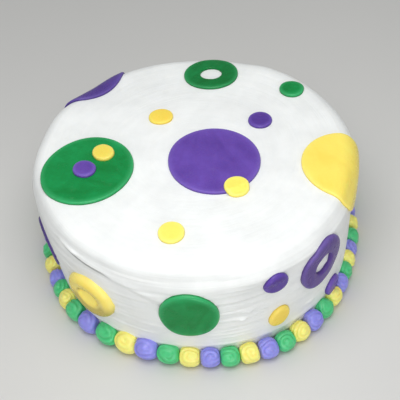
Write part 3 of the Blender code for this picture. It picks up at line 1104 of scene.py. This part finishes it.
SIDE_RINGS = [  # node, height above the foot (mm), angle, waver, stretch, pulls
    ("ring_purple_side", 57.0, 42.8, 0.006, (0.06, 72), PURPLE_RING_PULLS),
    ("ring_green_rear", 44.0, -108.0, 0.008, (0.01, 40), ()),
    ("ring_purple_rear", 42.0, 150.0, 0.008, (0.015, 120), ((-30, 20, 0.03),)),
]

spots = {}
for seed, (node, radius, distance, *laid) in enumerate(TOP_SPOTS):
    around, lift, *uneven = laid
    spots[node] = cut_disc("fondant_" + node, radius)
    lay_spot(spots[node], radius, distance * MM, around, lift, seed, *uneven)
for seed, (node, radius, height, *laid) in enumerate(SIDE_SPOTS, 20):
    around, lift, *uneven = laid
    spots[node] = cut_disc("fondant_" + node, radius, SIDE_SHEET, SIDE_RIM_ROUND)
    lay_spot(spots[node], radius, along_at_height(height * MM), around, lift, seed, *uneven)
for seed, (node, height, around, *uneven) in enumerate(SIDE_RINGS, 40):
    spots[node] = cut_ring("fondant_" + node, MEDIUM, SMALL * 0.95, SIDE_SHEET, SIDE_RIM_ROUND)
    lay_spot(spots[node], MEDIUM, along_at_height(height * MM), around, 0, seed, *uneven)
print("spots laid so far:", len(spots))

# %% [markdown]
# ## The ring on the top
#
# It is cut like the other rings, from the thinner sheet.  It lies so far back that its far rim
# reaches the shoulder, and it was dragged a little wider when it was laid.

# %% Lay the ring on the top
TOP_RING_PLACE = (84.9 * MM, 167.2)
node = "ring_green_top"
spots[node] = cut_ring("fondant_" + node, MEDIUM * 0.99, SMALL * 0.93, SHEET, RIM_ROUND)
lay_spot(spots[node], MEDIUM, *TOP_RING_PLACE, 0, 50, 0.006, (0.075, 10))
print("its mesh has", len(spots[node].data.polygons), "faces")

# %% [markdown]
# ## The puffy yellow ring
#
# This one was never cut through.  A thick disc was pressed in with a thumb, which left a bowl in
# its middle and pushed the rest up into a soft roll.  The thumb came from above, so the bowl is
# deepest near its top, where a crease runs under the roll.

# %% Press and lay the yellow ring
DISHED_PLACE = (along_at_height(41.4 * MM), -42.2)
PUFF = 4.7 * MM             # how high the roll stands at its crest
PUFF_POWER = 1.9            # how round it falls from there to its rim
CREST = 13.6 * MM
CREST_DROP = 0.7 * MM       # how much lower the roll is where the bowl begins
DISH_EDGE = 8.6 * MM
DISH_WALL = 1.5 * MM
DISH_FLOOR = 1.5 * MM
DISH_RISE = 0.9 * MM        # how much the bowl rises from its middle to its edge
DISH_TILT = 0.21
DISH_THINNEST = 0.4 * MM


def press_dish(points):
    """Presses a disc into a puffy ring round a tilted bowl."""
    away, _ = round_axis(points)
    fall = np.clip((away - CREST) / (MEDIUM - CREST), 0, 1)
    outer = PUFF * (1 - fall**PUFF_POWER) ** (1 / PUFF_POWER)
    face = PUFF - CREST_DROP * smooth_step(CREST, DISH_EDGE, away)
    bowl = DISH_FLOOR + DISH_RISE * (away / DISH_EDGE) ** 2 - DISH_TILT * points[:, 1]
    bowl = np.clip(bowl, DISH_THINNEST, face - CREST_DROP)
    into = smooth_step(DISH_EDGE, DISH_EDGE - DISH_WALL, away)
    shape = np.where(away > CREST, outer, face + (bowl - face) * into)
    pressed = points.copy()
    pressed[:, 2] = np.where(points[:, 2] > 0.5 * THICK_SHEET, shape, 0)
    return pressed


def painted_light_of_dish(points):
    """How much painted shade each point gets in the crease of the bowl, and the painted light that makes the
    bowl lighter and the flank darker.
    """
    away, _ = round_axis(points)
    towards_top = points[:, 1] / np.maximum(away, MM)
    near = plateau(away - DISH_EDGE, (-5.0 * MM, -3.2 * MM), (-0.2 * MM, 1.2 * MM))
    crease = 0.75 * near * smooth_step(-0.1, 0.5, towards_top) * (points[:, 2] > 0.5 * THICK_SHEET)
    bowl = 1 - smooth_step(DISH_EDGE - 2 * MM, DISH_EDGE, away)
    flank = smooth_step(DISH_EDGE - MM, DISH_EDGE + 2 * MM, away) * smooth_step(0.3, -0.5, towards_top)
    return crease, 1 + 0.2 * bowl - 0.42 * flank


node = "ring_yellow_side"
spots[node] = cut_plain("fondant_" + node, MEDIUM, THICK_SHEET, 96, 34)
dish_crease_shade, dish_painted_light = painted_light_of_dish(get_points(spots[node]))
# this mark carries the painted shade in the crease of the bowl
keep_value(spots[node], "crease", dish_crease_shade)
lay_spot(spots[node], MEDIUM, *DISHED_PLACE, 0, 51, 0.006, (0.05, 25), bend=press_dish)
print("its bowl is", round((PUFF - DISH_FLOOR) / MM, 1), "mm deep")

# %% [markdown]
# ## The dot that overhangs
#
# This dot lies half on the big purple disc.  Its outer half has nothing under it but icing, so
# past the disc's rim it has to come down softly by the thickness of a sheet.

# %% Lay the dot over the edge
EDGE_DOT_PLACE = (47 * MM, 35)
EDGE_CLEAR = 1.0 * MM
EDGE_DROOP = 4.5 * MM


def over_the_rim(along, around):
    """How high the dot lies: on the purple disc, and lower where it overhangs that disc's rim."""
    _, _, disc_distance, disc_around, *_ = TOP_SPOTS[0]
    disc_middle = turn(np.array((disc_distance * MM, HEIGHT)), math.radians(disc_around))
    past = np.hypot(*(turn(outline(along)[0], around) - disc_middle).T[:2]) - LARGE
    return ON_ANOTHER * (1 - smooth_step(EDGE_CLEAR, EDGE_CLEAR + EDGE_DROOP, past))


node = "dot_yellow_on_purple"
spots[node] = cut_disc("fondant_" + node, SMALL, sides=64, hoops=10)
keep_flat_shape(spots[node], SMALL)
drape(spots[node], waver(get_points(spots[node]), 52, 0.02), *EDGE_DOT_PLACE, over_the_rim)
print("spots in all:", len(spots))

# %% [markdown]
# ## The rolled sheet, for the materials
#
# Fondant is dense and satin, and its colour is kneaded in, so it varies only a little: faint
# mottling, streaks that run outwards where it was pressed flat, and a trace of the starch it
# was rolled on.  All three colours share these as one group, which reads the sheet's UV map.

# %% Rolled sheet as a shared group
def sheet_group():
    """Tone, starch and surface of a rolled sheet."""
    outputs = {"Tone": "Float", "Starch": "Float", "Height": "Float"}
    group, start, end = start_group("rolled_sheet", {"Sheet": "Vector", "Place": "Vector"}, outputs)
    mottle = noise(group, start["Place"], 55.0, 4.0, 0.6)
    fine = noise(group, start["Place"], 700.0, 3.0, 0.6)
    dust = noise(group, start["Place"], 130.0, 6.0, 0.75)
    tone = spread(group, maths(group, "MULTIPLY_ADD", fine, 0.3, mottle), 0.4, 0.9)
    centred = vectors(group, "SUBTRACT", start["Sheet"], (0.5, 0.5, 0))
    outwards = vectors(group, "NORMALIZE", centred)
    streak_place = vectors(group, "MULTIPLY_ADD", outwards, (3.2, 3.2, 3.2), centred)
    streaks = maths(group, "SUBTRACT", noise(group, streak_place, 1.6, 3.0), 0.5)
    share = spread(group, vectors(group, "LENGTH", centred, out="Value"), 0.06, 0.22, 0.0, 1.5)
    streaks = maths(group, "MULTIPLY", streaks, share)
    group.links.new(maths(group, "ADD", tone, streaks, use_clamp=True), end["Tone"])
    group.links.new(spread(group, dust, 0.6, 0.8), end["Starch"])
    group.links.new(maths(group, "MULTIPLY_ADD", fine, 0.4, mottle), end["Height"])
    return group


ROLLED_SHEET = sheet_group()
print("shared group:", ROLLED_SHEET.name)

# %% [markdown]
# ## Fondant in three colours
# Three thin changes lie over the kneaded colour: a painted highlight makes the rounded rim
# paler, painted shade makes the cut wall deeper, and starch dulls it here and there.  Small
# batches are coloured by eye, so some spots get a tint of their own, which the mesh keeps for
# the material; the tint of one spot also carries painted shade, and that of the puffy ring
# painted light and shade.

# %% The fondant's materials
# the rim's paler colour is a painted highlight, and the wall's deeper one is painted shade
RIM_HIGHLIGHT_SHARE = 0.45
WALL_SHADE_SHARE = 0.6
WALL_SHADE_DEPTH = 0.55           # the cut wall's painted shade keeps this share of the deep tone
STARCH_SHARE = 0.05
STARCH = (0.9, 0.9, 0.9)
BOWL_CREASE_SHADE = 0.55           # and this share is lost to painted shade in the crease of the bowl


def fondant(name, deep, light, rim_highlight_colour, roughness):
    """Coloured fondant between a deep and a light tone."""
    material, tree, shader, place = new_material(name)
    flat = add_node(tree, "TexCoord").outputs["UV"]
    sheet = add_node(tree, "Group", {"Sheet": flat, "Place": place}, node_tree=ROLLED_SHEET).outputs
    wall_shade_colour = tuple(part * WALL_SHADE_DEPTH for part in deep)
    # a painted highlight on the rim, painted shade on the cut wall, and real starch
    layers = [  # where it lies, its share, its colour
        (kept(tree, "rim"), RIM_HIGHLIGHT_SHARE, rim_highlight_colour),
        (kept(tree, "wall"), WALL_SHADE_SHARE, wall_shade_colour),
        (sheet["Starch"], STARCH_SHARE, STARCH),
    ]
    colour = mixed(tree, sheet["Tone"], deep, light)
    for where, share, layer_colour in layers:
        colour = mixed(tree, maths(tree, "MULTIPLY", where, share), colour, layer_colour)
    # each spot's own tint, which on two spots and the puffy ring's bowl and flank also carries painted light
    # and shade
    colour = vectors(tree, "MULTIPLY", colour, kept(tree, "tint_and_painted_light", "Vector"))
    # painted shade in the crease of the puffy ring's bowl
    dim = maths(tree, "MULTIPLY_ADD", kept(tree, "crease"), -BOWL_CREASE_SHADE, 1.0)
    connect(tree, shader, {
        "Base Color": scaled(tree, colour, dim),
        "Roughness": spread(tree, sheet["Tone"], 0.0, 1.0, roughness + 0.06, roughness - 0.06),
        "Normal": bumped(tree, sheet["Height"], 0.3, 0.35 * MM),
        "Subsurface Weight": 0.1,
        "Subsurface Scale": 1.0 * MM,
        "Specular IOR Level": 0.2,
    })
    return material


# the third colour of each is the painted highlight on its rim
FONDANT = {
    "purple": fondant("fondant_purple", (0.103, 0.047, 0.31), (0.152, 0.078, 0.43), (0.23, 0.15, 0.56), 0.26),
    "green": fondant("fondant_green", (0.003, 0.19, 0.036), (0.008, 0.3, 0.078), (0.08, 0.53, 0.22), 0.26),
    "yellow": fondant("fondant_yellow", (0.95, 0.71, 0.095), (0.99, 0.80, 0.135), (0.99, 0.83, 0.2), 0.28),
}
TINTS_AND_PAINTED_LIGHT = {  # batches of colour that differ from the rest, painted shade on disc_purple_left and a painted highlight on ring_yellow_side
    "ring_green_top": (0.78, 0.74, 0.7),
    "disc_purple_edge": (0.7, 0.77, 0.73),
    # painted shade: this spot lies on the shaded left side
    "disc_purple_left": (0.5, 0.55, 0.5),
    "dot_purple_top": (0.8, 0.78, 0.86),
    "dot_yellow_back": (0.95, 0.9, 0.82),
    "dot_yellow_on_green": (0.88, 0.9, 0.95),
    "dot_yellow_on_purple": (1.0, 1.07, 1.25),
    "dot_yellow_front": (1.0, 1.09, 1.3),
    "dot_purple_side": (0.68, 0.62, 0.8),
    "ring_purple_side": (0.82, 0.92, 0.72),
    "dot_yellow_side": (0.94, 0.9, 0.95),
    # painted highlight: the whole ring is whitened
    "ring_yellow_side": (1.0, 1.03, 1.4),
    "disc_yellow_edge": (1.0, 1.03, 1.2),
}
for node, piece in spots.items():
    colour = node.split("_")[1]
    tint_and_painted_light = np.tile(TINTS_AND_PAINTED_LIGHT.get(node, (1.0, 1.0, 1.0)), (len(piece.data.vertices), 1))
    if node == "ring_yellow_side":
        # painted light and shade on the puffy ring: its bowl lighter, its flank darker
        tint_and_painted_light *= dish_painted_light[:, None]
    mark = piece.data.attributes.new("tint_and_painted_light", "FLOAT_VECTOR", "POINT")
    mark.data.foreach_set("vector", tint_and_painted_light.astype(np.float32).ravel())
    dress(piece, FONDANT[colour])
    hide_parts(node)
print("finishes:", sorted(FONDANT))

# %% [markdown]
# ## The piped border
#
# A round nozzle is held still while it pushes out a ball, then it stops and pulls away with a
# small twist.  The hand goes round the foot like that, ball by ball, in lavender, green and
# yellow in turn.  It drifts in and out a little, and a few balls at the left front are wider.

# %% Where the beads sit, as in the solids
BEADS = 55
BORDER_RADIUS = 111.1 * MM
BORDER_WANDER = 2.0 * MM
WANDER_TURN = math.radians(21)
BEAD_HEIGHT = 12.6 * MM
BEAD_RISE = 1.11              # they stand up against the icing a little
BEAD_DEPTH = 13.0 * MM
BEAD_START = math.radians(-0.5)
SWELL = 0.31                  # how much wider the widest ball is
SWELL_BEAD = -4               # which one it is, counted from the front
SWELL_SPAN = 2.7
BEAD_OVERLAP = 1.16
FIRST_BEAD = -(BEADS // 2)
COLOURS = ("lavender", "green", "yellow")
MOVED_ROUND = [(-36, 8, 1.1), (-74, 11, 2.8), (81, 14, -2.4)]    # angle, half width, degrees
MOVED_OUT = [(21, 8, 1.0), (-70, 17, -3.2), (72, 17, -2.4), (97, 14, -2.4)]    # the same, in mm


def bead_angles():
    """The middle and width of each bead as angles, one after another round the foot."""
    order = np.arange(BEADS) + FIRST_BEAD
    share = 1 + SWELL * bell((order - SWELL_BEAD) / SWELL_SPAN)
    widths = 2 * math.pi * share / share.sum()
    middles = np.cumsum(widths) - widths / 2
    return middles + BEAD_START - middles[-FIRST_BEAD], widths


def bead_colour(number):
    """Lavender, green and yellow in turn; where the round closes, one green is left over."""
    order = (number + FIRST_BEAD + 6) % BEADS
    if order == BEADS - 1:
        return "green"
    return COLOURS[order % 3]


angles, widths = bead_angles()
beads_of = {colour: [bead for bead in range(BEADS) if bead_colour(bead) == colour] for colour in COLOURS}
print("beads of each colour:", {colour: len(chosen) for colour, chosen in beads_of.items()})

# %% [markdown]
# ## One ball
#
# The nozzle's twist leaves a coil of shallow grooves round a tip that points up and outwards.
# One ball is modelled from a sphere whose pole is the tip.  The coil winds away from it and
# fades half way down, and each ball has its own pitch, depth and lumps.

# %% Model one ball
BALL_SEGMENTS = 56
BALL_RINGS = 40
PITCHES = (25, 32)            # degrees from one turn of the coil to the next
GROOVES = (0.075, 0.115)      # how deep they are, in radii of the ball
TIPS = (0.06, 0.13)           # how far the tip stands out, or is sunk in
LUMPS = (0.018, 0.032)

bpy.ops.object.select_all(action="DESELECT")
bpy.ops.mesh.primitive_uv_sphere_add(segments=BALL_SEGMENTS, ring_count=BALL_RINGS, radius=1)
ball = bpy.context.object
ball.name = "ball"
ball_points = get_points(ball)
print("one ball has", len(ball_points), "points")


def coil(points, random):
    """The nozzle's coil: how far each point of a unit ball stands out, and how deep in a groove."""
    from_tip = np.arccos(np.clip(points[:, 2], -1, 1))
    round_tip = np.arctan2(points[:, 1], points[:, 0])
    pitch = math.radians(random.uniform(*PITCHES))
    wander = 0.16 * np.sin(2 * round_tip + random.uniform(0, 6))
    wander += 0.1 * np.sin(3 * round_tip + random.uniform(0, 6))
    turns = from_tip / pitch - (round_tip + random.uniform(0, 2 * math.pi)) / (2 * math.pi) + wander
    groove = (0.5 + 0.5 * np.cos(2 * math.pi * turns)) ** 2
    patchy = 0.65 + 0.35 * np.sin(round_tip + 1.3 * from_tip + random.uniform(0, 6))
    groove *= patchy * plateau(from_tip, (0.1, 0.4), (1.5, 2.3))
    depth = random.uniform(*GROOVES)
    tip = random.choice((-1, -1, 1)) * random.uniform(*TIPS) * bell(from_tip / 0.2)
    lumps = wavy(points, make_waves(random.integers(1, 10**6), 8, (0.7, 1.8)))
    return 1 - depth * groove + tip + random.uniform(*LUMPS) * lumps, groove


def squarish(points, power):
    """Lets a ball bulge towards a rounded square, as it does between its neighbours."""
    across = np.abs(points[:, 0])
    other = np.hypot(points[:, 1], points[:, 2])
    size = (across**power + other**power) ** (1 / power)
    return points / np.maximum(size, 1e-6)[:, None]


# %% [markdown]
# ## Round the foot
#
# Each ball gets a mesh of its own, which is turned, tilted and pressed against its neighbours
# and the icing in its own way.  All balls of one colour are then joined into one piece.

# %% Copy it round the foot
TIP_ANGLES = (36, 62)         # degrees above level
SIDEWAYS = (-16, 16)
SQUARENESS = (2.0, 2.35)      # 2 is a ball, more is squarer
BEAD_SIZES = (0.97, 1.05)
PLUMPER = 0.7                 # share of its extra width that a wide ball also has in height
SQUEEZE = 8                   # how flat a ball is pressed where it meets its neighbours
BEAD_SINK = 0.3 * MM          # how far it sinks into the icing


def place_bead(number, random):
    """One bead's points in its place on the border, and its grooves."""
    standing, groove = coil(ball_points, random)
    tip_angle = math.radians(random.uniform(*TIP_ANGLES))
    sideways = math.radians(random.uniform(*SIDEWAYS))
    tilt = Matrix.Rotation(sideways, 3, "Y") @ Matrix.Rotation(math.pi / 2 - tip_angle, 3, "X")
    local = squarish(ball_points @ np.array(tilt).T, random.uniform(*SQUARENESS)) * standing[:, None]
    middle = angles[number] + math.radians(hills(angles[number], MOVED_ROUND))
    radius = BORDER_RADIUS + BORDER_WANDER * math.cos(4 * (middle - WANDER_TURN))
    radius += hills(middle, MOVED_OUT) * MM
    half_width = radius * widths[number] / 2
    plump = 1 + PLUMPER * (widths[number] / widths.min() - 1)
    size = random.uniform(*BEAD_SIZES) * plump
    across = local[:, 0] * BEAD_OVERLAP
    across = 1.035 * across / (1 + np.abs(across) ** SQUEEZE) ** (1 / SQUEEZE) * half_width
    outwards = radius - local[:, 1] * BEAD_DEPTH / 2 * size
    up = np.maximum(BEAD_RISE * BEAD_HEIGHT / 2 * size * (1 + local[:, 2]), 0)
    around = middle + across / radius
    down = along_at_height(up)
    least = outline(down)[0][:, 0] + broad_relief(down, around) - BEAD_SINK
    outwards = np.maximum(outwards, least)
    return settle(turn(np.stack([outwards, up], -1), around)), groove


def join_beads(colour):
    """All beads of one colour as one piece."""
    draws = np.random.default_rng(71).integers(0, 2**31, BEADS)
    bpy.ops.object.select_all(action="DESELECT")
    for number in beads_of[colour]:
        points, groove = place_bead(number, np.random.default_rng(draws[number]))
        copy = bpy.data.objects.new("bead", ball.data.copy())
        bpy.context.scene.collection.objects.link(copy)
        set_points(copy, points)
        keep_value(copy, "groove", groove)
        copy.select_set(True)
        bpy.context.view_layer.objects.active = copy
    bpy.ops.object.join()
    piece = bpy.context.object
    piece.name = "beads_" + colour
    piece.data.name = piece.name
    bpy.ops.object.shade_smooth()
    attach(piece, "root")
    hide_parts("bead_border")
    return piece


beads = {colour: join_beads(colour) for colour in COLOURS}
bpy.data.objects.remove(ball)
print("faces in the border:", sum(len(piece.data.polygons) for piece in beads.values()))

# %% [markdown]
# ## Coloured buttercream
#
# This is the icing's own buttercream with colour stirred in.  Shade is painted deeper into the
# grooves, and whipped sugar gives it a fine grain.

# %% The beads' materials
def piped(name, colour, groove_shade_colour):
    """Coloured buttercream: painted shade in the grooves, with the grain of whipped sugar."""
    material, tree, shader, place = new_material(name)
    cloud = noise(tree, place, 260.0, 4.0, 0.6)
    # painted shade: the grooves get the darker colour
    tone = mixed(tree, maths(tree, "MULTIPLY", kept(tree, "groove"), 0.7), colour, groove_shade_colour)
    surface = bumped(tree, cloud, 0.45, 0.5 * MM)
    surface = bumped(tree, noise(tree, place, 1500.0, 2.0), 0.3, 0.15 * MM, surface)
    connect(tree, shader, {
        "Base Color": scaled(tree, tone, spread(tree, cloud, 0.3, 0.7, 0.94, 1.05)),
        "Roughness": 0.3,
        "Normal": surface,
        "Subsurface Weight": 0.15,
        "Subsurface Scale": 1.2 * MM,
    })
    return material


# the second colour of each is the painted shade in its grooves
PIPED = {
    "lavender": piped("piped_lavender", (0.30, 0.30, 0.84), (0.20, 0.19, 0.66)),
    "green": piped("piped_green", (0.085, 0.60, 0.235), (0.035, 0.42, 0.13)),
    "yellow": piped("piped_yellow", (0.955, 0.90, 0.235), (0.90, 0.74, 0.12)),
}
for colour, piece in beads.items():
    dress(piece, PIPED[colour])
print("finishes of the beads:", sorted(PIPED))
